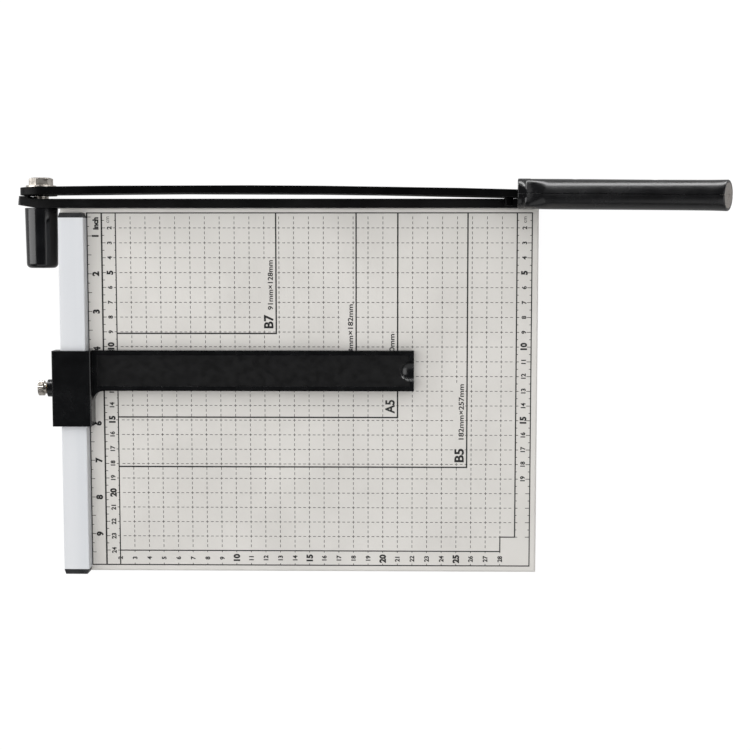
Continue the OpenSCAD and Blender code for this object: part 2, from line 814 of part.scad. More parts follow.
function ease(u) = u * u * (3 - 2 * u);
function mix(a, b, u) = a + (b - a) * u;

// Point of a unit superellipse: n = 2 is a circle, and more is squarer
function squircle(angle, n) = [sign(cos(angle)) * pow(abs(cos(angle)), 2 / n),
    sign(sin(angle)) * pow(abs(sin(angle)), 2 / n)];

// One section of the grip, with its middle at x and leaning back by lean towards the collar
function grip_ring(x, half_w, half_h, n, lean) = [for (k = [0 : grip_sides - 1])
    let (p = squircle(360 * (k + 0.5) / grip_sides, n))
    [x + half_h * p[1] * sin(lean), half_w * p[0], half_h * p[1] * cos(lean)]];

// The neck turns the collar's upright rounded rectangle into a circle square to the grip
function neck_ring(u) = grip_ring(neck_len * u,
    mix(collar_w / 2 - neck_inset, grip_radius(neck_len / grip_len), ease(u)),
    mix(collar_h / 2 - neck_inset, grip_radius(neck_len / grip_len), ease(u)),
    mix(neck_square_n, 2, ease(u)), grip_tilt * (1 - ease(u)));

function handle_ring(u) = grip_ring(mix(neck_len, grip_len - end_round, u),
    grip_radius(mix(neck_len, grip_len - end_round, u) / grip_len),
    grip_radius(mix(neck_len, grip_len - end_round, u) / grip_len), 2, 0);

grip_rings = concat([for (i = [0 : neck_steps]) neck_ring(i / neck_steps)],
    [for (i = [1 : grip_steps]) handle_ring(i / grip_steps)],
    [grip_ring(grip_len, end_r - end_round, end_r - end_round, 2, 0)]);

// The whole grip: collar, a neck that blends into the round, and the waisted handle
module grip_form() {
    last = (len(grip_rings) - 1) * grip_sides;
    walls = [for (i = [0 : len(grip_rings) - 2]) for (k = [0 : grip_sides - 1])
        let (a = i * grip_sides + k, b = i * grip_sides + (k + 1) % grip_sides)
        each [[a, b + grip_sides, b], [a, a + grip_sides, b + grip_sides]]];
    caps = [for (k = [1 : grip_sides - 2]) each [[0, k, k + 1], [last, last + k + 1, last + k]]];
    collar_block();
    on_grip() polyhedron([for (ring = grip_rings) each ring], concat(walls, caps));
}

// Everything that is left open inside the grip
module grip_hollows() {
    tang(fit);
    bow_sweep(collar_x - 2 * collar_r, collar_x + collar_len + fit)
        translate([bow_r - fit, 0]) square([arm_t + 2 * fit, table_z + arm_rise + fit]);
    on_grip() {
        translate([grip_len - plug_t - fit, 0, 0])
            rotate([0, 90, 0]) cylinder(d = plug_d + 2 * fit, h = plug_t + over);
        translate([grip_len - plug_t - plug_stem_len - 2 * fit, 0, 0])
            rotate([0, 90, 0]) cylinder(d = plug_stem_d + 2 * fit, h = plug_stem_len + over);
    }
    grip_screw_places() {
        bar_y(screw_d + 2 * fit, grip_r, grip_screw_len + over);
        bar_y(pan_d + 2 * fit, 2 * grip_r, 2 * grip_r - grip_head_y + pan_h);
    }
}

// One half of the grip: side 1 lies outside the parting plane, side -1 over the table
module grip_half(side) {
    intersection() {
        difference() {
            grip_form();
            grip_hollows();
        }
        translate([collar_mid_x, grip_y, 0])
            rotate([0, 0, -grip_yaw])
                translate([-grip_len / 2, side > 0 ? 0 : -2 * collar_w, 0])
                    cube([2 * grip_len, 2 * collar_w, 2 * grip_len]);
    }
}

module grip_inner() color("#1a1a1c") at_origin() grip_half(-1);

module grip_outer() color("#1a1a1c") at_origin() grip_half(1);

// Plug in the end of the grip, with a crossed mark
module grip_plug() color("#96938f") at_origin() {
    on_grip()
        difference() {
            union() {
                translate([grip_len - plug_t, 0, 0]) rotate([0, 90, 0]) cylinder(d = plug_d, h = plug_t);
                translate([grip_len - plug_t - plug_stem_len, 0, 0])
                    rotate([0, 90, 0]) cylinder(d = plug_stem_d, h = plug_stem_len + fit);
            }
            for (a = [0, 90])
                rotate([a, 0, 0])
                    translate([grip_len - plug_mark_h, -plug_mark_w / 2,
                            -plug_mark_len_share * plug_d / 2])
                        cube([plug_mark_h + over, plug_mark_w, plug_mark_len_share * plug_d]);
        }
}

// Screws that draw the two halves onto the tang, with their heads on the outer side
module grip_screws() color("#7e7e7c") at_origin() {
    grip_screw_places()
        translate([0, grip_head_y - pan_h, 0])
            rotate([90, 0, 0]) pan_screw(grip_screw_len - grip_r + grip_head_y - pan_h - fit);
}

// Plan of the bar's inner corner: a square with a quarter circle taken out
module corner_fillet(r, h) {
    difference() {
        cube([r, r, h]);
        translate([r, 0, -over]) cylinder(r = r, h = h + 2 * over);
    }
}

// Moulded stop: a block that straddles the fence and a hollow bar across the table
module paper_stop() color("#161618") at_origin() {
    block_w = stop_in_x - stop_out_x;
    block_rise = stop_block_h - slide_gap;
    bar_len = stop_reach - stop_in_x;
    bar_rise = stop_bar_h - slide_gap;
    cell = (bar_len - stop_skin) / (stop_ribs + 1);
    difference() {
        union() {
            extrude_y(-stop_y, stop_block_len)
                translate([stop_out_x, stop_z]) arch(block_w, block_rise, stop_round);
            translate([stop_in_x - stop_round, -stop_y - stop_bar_w, stop_z])
                cube([bar_len + stop_round, stop_bar_w, bar_rise]);
            translate([stop_in_x, -stop_y - stop_bar_w - stop_fillet_r, stop_z])
                corner_fillet(stop_fillet_r, bar_rise);
            translate([0, clamp_y, clamp_axis_z])
                bar_x(clamp_boss_d, stop_out_x + stop_wall_out / 2,
                    clamp_boss_len + stop_wall_out / 2);
        }
        extrude_y(-stop_y + over, stop_block_len + 2 * over)
            translate([-rail_w - slide_gap, stop_z - over])
                square([rail_w + 2 * slide_gap, rail_h + over]);
        translate([stop_in_x + stop_rim_w, -stop_y - stop_bar_w + stop_rim_w,
                table_z + stop_bar_h - stop_rim_h])
            cube([bar_len - 2 * stop_rim_w, stop_bar_w - 2 * stop_rim_w, stop_rim_h + over]);
        for (i = [0 : stop_ribs])
            translate([stop_in_x + i * cell + rib_t, -stop_y - stop_bar_w + stop_skin,
                    stop_z - over])
                cube([cell - rib_t - (i == stop_ribs ? scoop_depth : 0),
                    stop_bar_w - 2 * stop_skin, bar_rise - stop_rim_h - stop_skin + over]);
        translate([stop_in_x + rib_t + stop_skin, -stop_y - stop_bar_w + stop_skin, stop_z - over])
            cube([bar_len - scoop_depth - 2 * stop_skin - rib_t, stop_bar_w - 2 * stop_skin,
                rib_lift + over]);
        translate([stop_reach - scoop_depth + scoop_r, -stop_y - stop_bar_w / 2,
                table_z + stop_bar_h + scoop_lift]) {
            sphere(scoop_ball_r);
            bar_x(2 * scoop_ball_r, scoop_depth, scoop_depth);
        }
        for (i = [0 : groove_count - 1])
            translate([-rail_w * (1 - groove_margin_share),
                    -stop_y - stop_block_len / 2
                        + (i - (groove_count - 1) / 2) * groove_pitch - groove_w / 2,
                    table_z + stop_block_h - groove_depth])
                cube([rail_w * (1 - 2 * groove_margin_share), groove_w, groove_depth + over]);
        translate([0, clamp_y, clamp_axis_z]) {
            bar_x(insert_d + 2 * fit, boss_x + insert_len, insert_len + over);
            bar_x(screw_d + 2 * hole_gap, 0, -boss_x);
            bar_x(pad_d + 2 * hole_gap, -rail_w, slide_gap + pad_t + pad_travel);
        }
    }
}

// Brass insert with the clamp screw's thread
module thread_insert() color("#b0964e") at_origin() {
    translate([0, clamp_y, clamp_axis_z])
        difference() {
            bar_x(insert_d, boss_x + insert_len, insert_len);
            bar_x(screw_d + 2 * fit, boss_x + insert_len + over, insert_len + 2 * over);
        }
}

// Swivel pad on the end of the clamp screw
module clamp_pad() color("#8a8a88") at_origin() {
    translate([0, clamp_y, clamp_axis_z])
        difference() {
            bar_x(pad_d, pad_x, pad_t);
            bar_x(tip_d + 2 * fit, shank_end_x + fit, pad_t);
        }
}

// Outline of the knurled head
module knurl(d, teeth, depth) {
    polygon([for (i = [0 : 2 * teeth - 1])
        let (r = d / 2 - (i % 2) * depth, a = 180 * i / teeth)
        [r * cos(a), r * sin(a)]]);
}

module thumb_screw() color("#bdb9ae") at_origin() {
    hub_x = boss_x - knob_gap;
    head_x = hub_x - knob_hub_t;
    translate([0, clamp_y, clamp_axis_z]) {
        translate([head_x, 0, 0])
            rotate([0, -90, 0]) linear_extrude(knob_t) knurl(knob_d, knob_teeth, knob_tooth_h);
        bar_x(knob_hub_d, hub_x, knob_hub_t + fit);
        bar_x(screw_d, pad_x - pad_t - fit, pad_x - pad_t - fit - hub_x + fit);
        bar_x(tip_d, shank_end_x, pad_t);
    }
}

base_plate();
rubber_feet();
foot_screws();
foot_nuts();
fixed_blade();
blade_screws();
blade_nuts();
fence_rail();
fence_cap_near();
fence_cap_far();
fence_screws();
pivot_bolt();
pivot_washer();
pivot_spacer();
spring_seat();
pivot_spring();
spring_washer();
lock_nut();
spring_cap();
blade_arm();
rest_pin();
grip_inner();
grip_outer();
grip_plug();
grip_screws();
paper_stop();
thread_insert();
clamp_pad();
thumb_screw();
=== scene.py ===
"""Desk guillotine for paper, dressed piece by piece in the order in which it is put together.

Metres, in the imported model's own frame: +X runs along the blades from the pivot to the grip,
+Y from the table to the arm, and +Z up from the desk.
"""
import math

import bpy
from mathutils import Euler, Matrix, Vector


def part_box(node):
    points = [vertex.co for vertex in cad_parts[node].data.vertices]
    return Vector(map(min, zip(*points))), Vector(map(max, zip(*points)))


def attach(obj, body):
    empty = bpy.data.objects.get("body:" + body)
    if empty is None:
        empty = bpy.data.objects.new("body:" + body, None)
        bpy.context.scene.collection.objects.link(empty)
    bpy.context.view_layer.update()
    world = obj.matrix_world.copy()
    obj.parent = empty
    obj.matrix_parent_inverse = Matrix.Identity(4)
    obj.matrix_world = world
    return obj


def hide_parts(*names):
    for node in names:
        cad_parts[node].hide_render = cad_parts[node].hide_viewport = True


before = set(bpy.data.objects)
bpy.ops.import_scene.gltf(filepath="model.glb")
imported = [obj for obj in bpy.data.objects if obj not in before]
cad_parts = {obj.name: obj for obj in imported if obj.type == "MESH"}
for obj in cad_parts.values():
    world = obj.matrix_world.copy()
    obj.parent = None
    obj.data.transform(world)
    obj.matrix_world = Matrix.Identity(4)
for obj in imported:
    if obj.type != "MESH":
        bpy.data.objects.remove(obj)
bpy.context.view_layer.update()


# Folded table: sheet steel bent down on four sides, with lips turned in under the long sides,
# then stove-enamelled in a warm light grey. The enamel rounds the sheet's cut edges a little.
mm = 0.001
sheet_edge = 0.25 * mm
enamel_colours = ((0.625, 0.606, 0.574), (0.665, 0.645, 0.612))
merge_distance = 0.001 * mm
flat_angle = math.radians(0.4)
edge_angle = math.radians(34)
cloud_limits, cloud_detail, grain_detail = (0.35, 0.65), 4, 2


def select_only(piece):
    """Makes a piece the only selected object and the active one."""
    if bpy.context.mode != "OBJECT":
        bpy.ops.object.mode_set(mode="OBJECT")
    bpy.ops.object.select_all(action="DESELECT")
    piece.select_set(True)
    bpy.context.view_layer.objects.active = piece


def merged_copy(node, name):
    """A new piece with a CAD node's shape, its doubles merged and its flat faces joined."""
    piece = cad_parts[node].copy()
    piece.data = piece.data.copy()
    piece.parent = None
    for label in list(piece.keys()):
        del piece[label]
    piece.name = piece.data.name = name
    piece.data.materials.clear()
    bpy.context.scene.collection.objects.link(piece)
    piece.hide_viewport = piece.hide_render = False
    piece.hide_set(False)
    select_only(piece)
    bpy.ops.object.mode_set(mode="EDIT")
    bpy.ops.mesh.select_all(action="SELECT")
    bpy.ops.mesh.remove_doubles(threshold=merge_distance)
    bpy.ops.mesh.dissolve_limited(angle_limit=flat_angle)
    bpy.ops.object.mode_set(mode="OBJECT")
    return piece


def apply_modifier(piece, kind, **settings):
    """Adds a modifier with these settings and applies it at once."""
    select_only(piece)
    modifier = piece.modifiers.new(kind.lower(), kind)
    for setting, value in settings.items():
        setattr(modifier, setting, value)
    bpy.ops.object.modifier_apply(modifier=modifier.name)


def soften_edges(piece, width, segments=2):
    """Rounds a piece's sharp edges and shades it smooth between them."""
    apply_modifier(piece, "BEVEL", width=width, segments=segments, limit_method="ANGLE",
                   angle_limit=edge_angle, use_clamp_overlap=True)
    bpy.ops.object.shade_smooth_by_angle(angle=edge_angle)
    apply_modifier(piece, "WEIGHTED_NORMAL", mode="FACE_AREA", keep_sharp=True)


def surface(name, colours, roughness, patch, grain, relief, metallic=0.0, stretch=(1, 1, 1),
            shine=0.5):
    """A material whose colour and roughness wander between two limits over patches of one
    size, with a relief of a finer grain. Patch, grain and relief are lengths."""
    material = bpy.data.materials.new(name)
    material.use_nodes = True
    tree = material.node_tree
    shader = tree.nodes["Principled BSDF"]
    shader.inputs["Metallic"].default_value = metallic
    shader.inputs["Specular IOR Level"].default_value = shine
    place = tree.nodes.new("ShaderNodeTexCoord")
    scale = tree.nodes.new("ShaderNodeMapping")
    scale.inputs["Scale"].default_value = stretch
    clouds = tree.nodes.new("ShaderNodeTexNoise")
    clouds.inputs["Scale"].default_value = 1 / patch
    clouds.inputs["Detail"].default_value = cloud_detail
    tint = tree.nodes.new("ShaderNodeValToRGB")
    for end, position, colour in zip(tint.color_ramp.elements, cloud_limits, colours):
        end.position = position
        end.color = (*colour, 1)
    gloss = tree.nodes.new("ShaderNodeMapRange")
    for socket, value in zip(("From Min", "From Max", "To Min", "To Max"),
                             (*cloud_limits, *roughness)):
        gloss.inputs[socket].default_value = value
    pebbles = tree.nodes.new("ShaderNodeTexNoise")
    pebbles.inputs["Scale"].default_value = 1 / grain
    pebbles.inputs["Detail"].default_value = grain_detail
    bump = tree.nodes.new("ShaderNodeBump")
    bump.inputs["Distance"].default_value = relief
    tree.links.new(place.outputs["Object"], scale.inputs["Vector"])
    tree.links.new(scale.outputs["Vector"], clouds.inputs["Vector"])
    tree.links.new(scale.outputs["Vector"], pebbles.inputs["Vector"])
    tree.links.new(clouds.outputs["Fac"], tint.inputs["Fac"])
    tree.links.new(clouds.outputs["Fac"], gloss.inputs["Value"])
    tree.links.new(pebbles.outputs["Fac"], bump.inputs["Height"])
    tree.links.new(tint.outputs["Color"], shader.inputs["Base Color"])
    tree.links.new(gloss.outputs["Result"], shader.inputs["Roughness"])
    tree.links.new(bump.outputs["Normal"], shader.inputs["Normal"])
    return material


table = merged_copy("base_plate", "folded_table")
soften_edges(table, sheet_edge)
table.data.materials.append(surface("table_enamel", enamel_colours, roughness=(0.36, 0.46),
                                    patch=38 * mm, grain=1.4 * mm, relief=0.006 * mm))
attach(table, "base")
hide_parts("base_plate")


# Print: rulers, a centimetre grid and the outlines of paper formats, screened on the enamel in
# black ink. Every line, dash and figure is a thin solid that stands on the table.
# Sizes below are millimetres from the rulers' zero, which lies near the corner by the pivot.
ink_h = 0.04 * mm
ink_colours = ((0.010, 0.010, 0.011), (0.016, 0.016, 0.016))
zero_from_right, zero_from_blade = 304.5 * mm, 6.5 * mm
table_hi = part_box("base_plate")[1]
ruler_zero = Vector((table_hi.x - zero_from_right, table_hi.y + zero_from_blade, table_hi.z))
frame_left, frame_right, frame_top, frame_bottom = 0.75, 300, -10, -250
inch_edge, grid_left, grid_right, grid_bottom = 10.6, 20, 290, -240
notch_x, notch_y = 280, -230
fine_w, line_w, format_w, thick_w, tick_w = 0.76, 0.86, 0.94, 1.06, 0.42
inch, cell = 25.4, 10
first_column, columns, first_row, rows = 30, 26, -20, 22
dash_w, dash_len, dash_pitch, column_dashes, row_dashes = 0.37, 1.9, cell / 3, 68, 80
ink = []


def on_table(x, y):
    """A point on the enamel, from a place on the rulers."""
    return ruler_zero + Vector((x * mm, y * mm, 0))


def ink_bar(x0, y0, x1, y1):
    """A bar of ink between two corners."""
    middle = on_table((x0 + x1) / 2, (y0 + y1) / 2) + Vector((0, 0, ink_h / 2))
    bpy.ops.mesh.primitive_cube_add(size=1, location=middle,
                                    scale=(abs(x1 - x0) * mm, abs(y1 - y0) * mm, ink_h))
    bpy.ops.object.transform_apply()
    ink.append(bpy.context.object)
    return bpy.context.object


def repeat(piece, count, step_x, step_y):
    """Repeats a piece along a straight row."""
    apply_modifier(piece, "ARRAY", count=count, use_relative_offset=False,
                   use_constant_offset=True,
                   constant_offset_displace=(step_x * mm, step_y * mm, 0))


def upright_line(x, y0, y1, width):
    """A line of ink along Y."""
    return ink_bar(x - width / 2, y0, x + width / 2, y1)


def level_line(y, x0, x1, width):
    """A line of ink along X."""
    return ink_bar(x0, y - width / 2, x1, y + width / 2)


def join_pieces(pieces, name):
    """Joins like pieces into one object of that name."""
    bpy.ops.object.select_all(action="DESELECT")
    for piece in pieces:
        piece.select_set(True)
    bpy.context.view_layer.objects.active = pieces[0]
    bpy.ops.object.join()
    whole = bpy.context.object
    whole.name = whole.data.name = name
    return whole


level_line(frame_top, frame_left - line_w / 2, frame_right + fine_w / 2, fine_w)
level_line(frame_bottom, frame_left - line_w / 2, frame_right + fine_w / 2, fine_w)
upright_line(frame_left, frame_top, frame_bottom, line_w)
upright_line(inch_edge, frame_top, frame_bottom, thick_w)
upright_line(grid_left, frame_top, frame_bottom, fine_w)
upright_line(grid_right, frame_top, notch_y, line_w)
upright_line(frame_right, frame_top, frame_bottom, fine_w)
level_line(grid_bottom, grid_left, notch_x + fine_w / 2, fine_w)
upright_line(notch_x, grid_bottom, notch_y, fine_w)
level_line(notch_y, notch_x - fine_w / 2, grid_right + fine_w / 2, fine_w)

# Outlines of the paper formats, by width and height, from the grid's corner by the pivot
paper_formats = {"B7": (128, 91), "B6": (182, 128), "A5": (210, 148), "B5": (257, 182)}
for width, height in paper_formats.values():
    level_line(-height, grid_left, width + format_w / 2, format_w)
    upright_line(width, frame_top, -height, format_w)

# Ticks of the rulers along Y: from x, to x, the first one's y, how many, and the step
half_row = first_row + cell / 2
ticks_up = (
    (frame_left, 3.5, -inch / 2, 19, -inch / 2),
    (frame_left, 2.2, -inch / 4 - inch / 2, 18, -inch / 2),
    (11, 13.2, first_row, 23, -cell),
    (18.4, grid_left, first_row, 23, -cell),
    (11, 12.4, half_row, 23, -cell),
    (19.2, grid_left, half_row, 23, -cell),
    (grid_right, 291.8, first_row, rows, -cell),
    (297, frame_right, first_row, rows, -cell),
    (grid_right, 291.2, half_row, rows, -cell),
    (298.7, frame_right, half_row, rows, -cell),
)
for x0, x1, y, count, step in ticks_up:
    repeat(level_line(y, x0, x1, tick_w), count, 0, step)

# Ticks of the ruler along X: from y, to y
ticks_across = ((grid_bottom, -241.2), (-248.7, frame_bottom))
for y0, y1 in ticks_across:
    repeat(upright_line(first_column, y0, y1, tick_w), columns, cell, 0)

# The grid's dashed lines, three dashes to a centimetre
dash_y, dash_x = frame_top - dash_pitch, grid_left + dash_pitch
upright_dashes = upright_line(first_column, dash_y - dash_len / 2, dash_y + dash_len / 2, dash_w)
repeat(upright_dashes, column_dashes, 0, -dash_pitch)
repeat(upright_dashes, columns, cell, 0)
level_dashes = level_line(first_row, dash_x - dash_len / 2, dash_x + dash_len / 2, dash_w)
repeat(level_dashes, row_dashes, dash_pitch, 0)
repeat(level_dashes, rows, 0, -cell)

# Words and figures: those of the rulers, and beside each format's right edge its name and its
# size, which comes after a gap and has a length of its own
figure_h, bold_figure_h, inch_figure_h, inch_word_h, cm_word_h = 2.9, 3.9, 4.1, 4.1 * 0.85, 2.6
bold_weight, plain_weight, thin_weight = 0.08, 0.055, 0.03
inch_x, left_cm_x, right_cm_x, low_cm_y = 6.2, 15.8, 295, -245.3
inch_word, left_cm_word, right_cm_word = (6.6, -17), (14.5, -14.5), (295, -14.5)
name_h, size_h = 5.9, 3.3
capital_share = 0.69
name_lift, name_len, name_weight, label_back = 3.1, 9.3, 0.045, 2.2
size_places = {"B7": (3.5, 33.4), "B6": (5.6, 37.7), "A5": (5.6, 37.7), "B5": (5.6, 37.7)}
clear_left, clear_right, clear_ends = 0.7, 1.2, 1
cube_corners = 8
label_spots = []


def ink_text(body, x, y, height, weight=0.0, align="CENTER", fit_len=None):
    """A word that reads towards +Y. x is the middle of the letters, or their foot where they
    are aligned left. Weight thickens the strokes, and fit_len sets the word's length."""
    bpy.ops.object.text_add(rotation=(0, 0, math.pi / 2))
    word = bpy.context.object
    word.data.body = body
    word.data.align_x = align
    word.data.size = height * mm / capital_share
    word.data.offset = weight * height * mm
    word.data.extrude = ink_h / 2
    word.data.resolution_u = 3
    foot = x + height / 2 if align == "CENTER" else x
    word.location = on_table(foot, y) + Vector((0, 0, ink_h / 2))
    if fit_len:
        bpy.context.view_layer.update()
        word.scale.x = fit_len * mm / word.dimensions.x
    bpy.ops.object.convert(target="MESH")
    bpy.ops.object.transform_apply()
    ink.append(bpy.context.object)


def ink_figure(count, x, y, bold):
    """A centimetre ruler's figure: every fifth one is larger and heavier."""
    if bold:
        ink_text(str(count), x, y, bold_figure_h, bold_weight)
    else:
        ink_text(str(count), x, y, figure_h, plain_weight)


for count in range(1, 10):
    ink_text(str(count), inch_x, -inch * count, inch_figure_h, bold_weight)
for count in range(2, 25):
    ink_figure(count, left_cm_x, -cell * count, count % 5 == 0)
for count in range(2, 20):
    ink_figure(count, right_cm_x, -cell * count, count % 5 == 0)
for count in range(2, 29):
    ink_figure(count, cell * count, low_cm_y, count % 5 == 0 and count > 5)
ink_text("inch", *inch_word, inch_word_h, bold_weight)
ink_text("cm", *left_cm_word, cm_word_h)
ink_text("cm", *right_cm_word, cm_word_h)
for name, (width, height) in paper_formats.items():
    foot = -height + name_lift
    size_gap, size_len = size_places[name]
    ink_text(name, width - label_back, foot, name_h, name_weight, "LEFT", name_len)
    ink_text(f"{height}mm×{width}mm", width - label_back, foot + name_len + size_gap,
             size_h, thin_weight, "LEFT", size_len)
    label_spots.append((width - label_back - name_h - clear_left, width - clear_right,
                        foot - clear_ends, foot + name_len + size_gap + size_len + clear_ends))


def clear_dashes(dashes):
    """Deletes the dashes that would cross a label, or that lie in the grid's missing corner."""
    select_only(dashes)
    bpy.ops.object.mode_set(mode="EDIT")
    bpy.ops.mesh.select_mode(type="VERT")
    bpy.ops.mesh.select_all(action="DESELECT")
    bpy.ops.object.mode_set(mode="OBJECT")
    corners = dashes.data.vertices
    spots = label_spots + [(notch_x - clear_ends, grid_right, grid_bottom, notch_y)]
    for first in range(0, len(corners), cube_corners):
        dash = corners[first:first + cube_corners]
        middle = sum((corner.co for corner in dash), Vector()) / cube_corners
        middle = (middle - ruler_zero) / mm
        for x0, x1, y0, y1 in spots:
            if x0 < middle.x < x1 and y0 < middle.y < y1:
                for corner in dash:
                    corner.select = True
    bpy.ops.object.mode_set(mode="EDIT")
    bpy.ops.mesh.delete(type="VERT")
    bpy.ops.object.mode_set(mode="OBJECT")


clear_dashes(upright_dashes)
clear_dashes(level_dashes)

table_print = join_pieces(ink, "table_print")
bpy.ops.object.mode_set(mode="EDIT")
bpy.ops.mesh.select_all(action="SELECT")
bpy.ops.mesh.remove_doubles(threshold=merge_distance)
bpy.ops.object.mode_set(mode="OBJECT")
table_print.data.materials.clear()
table_print.data.materials.append(surface("printed_ink", ink_colours, roughness=(0.4, 0.55),
                                          patch=6 * mm, grain=0.6 * mm, relief=0.003 * mm))
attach(table_print, "base")


# Feet: tapered rubber buffers with a pocket for the screw's head and a rounded tread, four of
# them screwed to the lips.
foot_top_r, foot_tread_r, foot_edge = 10 * mm, 8.5 * mm, 0.8 * mm
foot_pocket_r, foot_pocket_h = 4.4 * mm, 3.8 * mm
rubber_colours = ((0.012, 0.012, 0.013), (0.024, 0.024, 0.025))
feet_lo, feet_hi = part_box("rubber_feet")
near, facing = 0.01 * mm, 0.99
feet = []


def pick_faces(piece, wanted):
    """Goes into edit mode with the faces selected for which wanted(centre, normal) is true."""
    select_only(piece)
    bpy.ops.object.mode_set(mode="EDIT")
    bpy.ops.mesh.select_mode(type="FACE")
    bpy.ops.mesh.select_all(action="DESELECT")
    bpy.ops.object.mode_set(mode="OBJECT")
    for face in piece.data.polygons:
        face.select = wanted(face.center, face.normal)
    bpy.ops.object.mode_set(mode="EDIT")


def pick_edges(piece, wanted):
    """Goes into edit mode with the edges selected for which wanted(end, end) is true."""
    select_only(piece)
    bpy.ops.object.mode_set(mode="EDIT")
    bpy.ops.mesh.select_mode(type="EDGE")
    bpy.ops.mesh.select_all(action="DESELECT")
    bpy.ops.object.mode_set(mode="OBJECT")
    corners = piece.data.vertices
    for edge in piece.data.edges:
        edge.select = wanted(*(corners[index].co for index in edge.vertices))
    bpy.ops.object.mode_set(mode="EDIT")


for x in (feet_lo.x + foot_top_r, feet_hi.x - foot_top_r):
    for y in (feet_lo.y + foot_top_r, feet_hi.y - foot_top_r):
        bpy.ops.mesh.primitive_cone_add(vertices=48, radius1=foot_tread_r, radius2=foot_top_r,
                                        depth=feet_hi.z - feet_lo.z,
                                        location=(x, y, (feet_lo.z + feet_hi.z) / 2))
        bpy.ops.object.transform_apply()
        foot = bpy.context.object
        pick_edges(foot, lambda a, b: max(a.z, b.z) < feet_lo.z + near)
        bpy.ops.mesh.bevel(offset=foot_edge, segments=3, affect="EDGES")
        pick_faces(foot, lambda centre, normal: normal.z < -facing)
        bpy.ops.mesh.inset(thickness=foot_tread_r - foot_edge - foot_pocket_r)
        bpy.ops.mesh.extrude_region_move(
            TRANSFORM_OT_translate={"value": (0, 0, foot_pocket_h)})
        bpy.ops.object.mode_set(mode="OBJECT")
        feet.append(foot)
feet = join_pieces(feet, "feet")
bpy.ops.object.shade_smooth_by_angle(angle=edge_angle)
feet.data.materials.append(surface("foot_rubber", rubber_colours, roughness=(0.72, 0.85),
                                   patch=5 * mm, grain=0.5 * mm, relief=0.02 * mm))
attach(feet, "base")
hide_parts("rubber_feet")


# Small steel fasteners: pan-head screws and nuts of the feet and the fence, countersunk screws
# and nuts of the fixed blade, all bright zinc plate. Their edges are rolled, not sharp.
fastener_edge = 0.18 * mm
zinc_colours = ((0.50, 0.50, 0.49), (0.62, 0.61, 0.58))
zinc_plate = surface("zinc_plate", zinc_colours, roughness=(0.28, 0.42), patch=3 * mm,
                     grain=0.35 * mm, relief=0.003 * mm, metallic=1.0)
fasteners = {"foot_screws": "foot_screw_set", "foot_nuts": "foot_nut_set",
             "fence_screws": "fence_screw_set", "blade_screws": "blade_screw_set",
             "blade_nuts": "blade_nut_set"}
for node, name in fasteners.items():
    fastener = merged_copy(node, name)
    soften_edges(fastener, fastener_edge)
    fastener.data.materials.append(zinc_plate)
    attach(fastener, "base")
    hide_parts(node)


# Fixed blade: a flat steel bar bolted to the table's front edge. Its forged ear carries the
# pivot, and a pad on the ear's tip guides the arm's heel. It is enamelled black all over.
blade_edge = 0.35 * mm
blade_colours = ((0.0020, 0.0020, 0.0021), (0.0032, 0.0032, 0.0034))
fixed_blade = merged_copy("fixed_blade", "fixed_blade_bar")
soften_edges(fixed_blade, blade_edge)
fixed_blade.data.materials.append(surface("blade_enamel", blade_colours,
                                          roughness=(0.34, 0.44), patch=22 * mm,
                                          grain=0.8 * mm, relief=0.006 * mm, shine=0.36))
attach(fixed_blade, "base")
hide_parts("fixed_blade")


# Fence: an extruded aluminium rail, finely drawn along its length and finished satin silver,
# with a black moulded cap pressed into each end.
rail_edge, fence_cap_edge = 0.2 * mm, 0.35 * mm
rail_colours = ((0.644, 0.659, 0.683), (0.693, 0.703, 0.723))
cap_colours = ((0.012, 0.013, 0.014), (0.020, 0.021, 0.023))
rail = merged_copy("fence_rail", "fence_extrusion")
soften_edges(rail, rail_edge)
rail.data.materials.append(surface("rail_aluminium", rail_colours, roughness=(0.34, 0.44),
                                   patch=14 * mm, grain=0.5 * mm, relief=0.004 * mm,
                                   stretch=(1, 0.03, 1)))
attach(rail, "base")
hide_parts("fence_rail")
cap_plastic = surface("cap_plastic", cap_colours, roughness=(0.38, 0.5), patch=5 * mm,
                      grain=0.35 * mm, relief=0.008 * mm)
for node, name in (("fence_cap_near", "fence_end_near"), ("fence_cap_far", "fence_end_far")):
    cap = merged_copy(node, name)
    soften_edges(cap, fence_cap_edge)
    cap.data.materials.append(cap_plastic)
    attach(cap, "base")
    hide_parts(node)


# Pivot: a hexagon-head bolt, its washer and the spacer between the arm and the ear, all in dull
# nickel plate, and behind the ear a spring seat, a washer and a lock nut in zinc plate.
bolt_edge = 0.22 * mm
nickel_colours = ((0.40, 0.37, 0.33), (0.60, 0.56, 0.51))
nickel_plate = surface("nickel_plate", nickel_colours, roughness=(0.26, 0.4), patch=4 * mm,
                       grain=0.4 * mm, relief=0.004 * mm, metallic=1.0)
pivot_pieces = {
    "pivot_bolt": ("hexagon_bolt", nickel_plate, "nickel"),
    "pivot_washer": ("bolt_washer", nickel_plate, "nickel"),
    "pivot_spacer": ("arm_spacer", nickel_plate, "nickel"),
    "spring_seat": ("spring_seat_disc", zinc_plate, "zinc_steel"),
    "spring_washer": ("nut_washer", zinc_plate, "zinc_steel"),
    "lock_nut": ("locking_nut", zinc_plate, "zinc_steel"),
}
for node, (name, material, slot) in pivot_pieces.items():
    piece = merged_copy(node, name)
    soften_edges(piece, bolt_edge)
    piece.data.materials.append(material)
    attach(piece, "base")
    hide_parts(node)


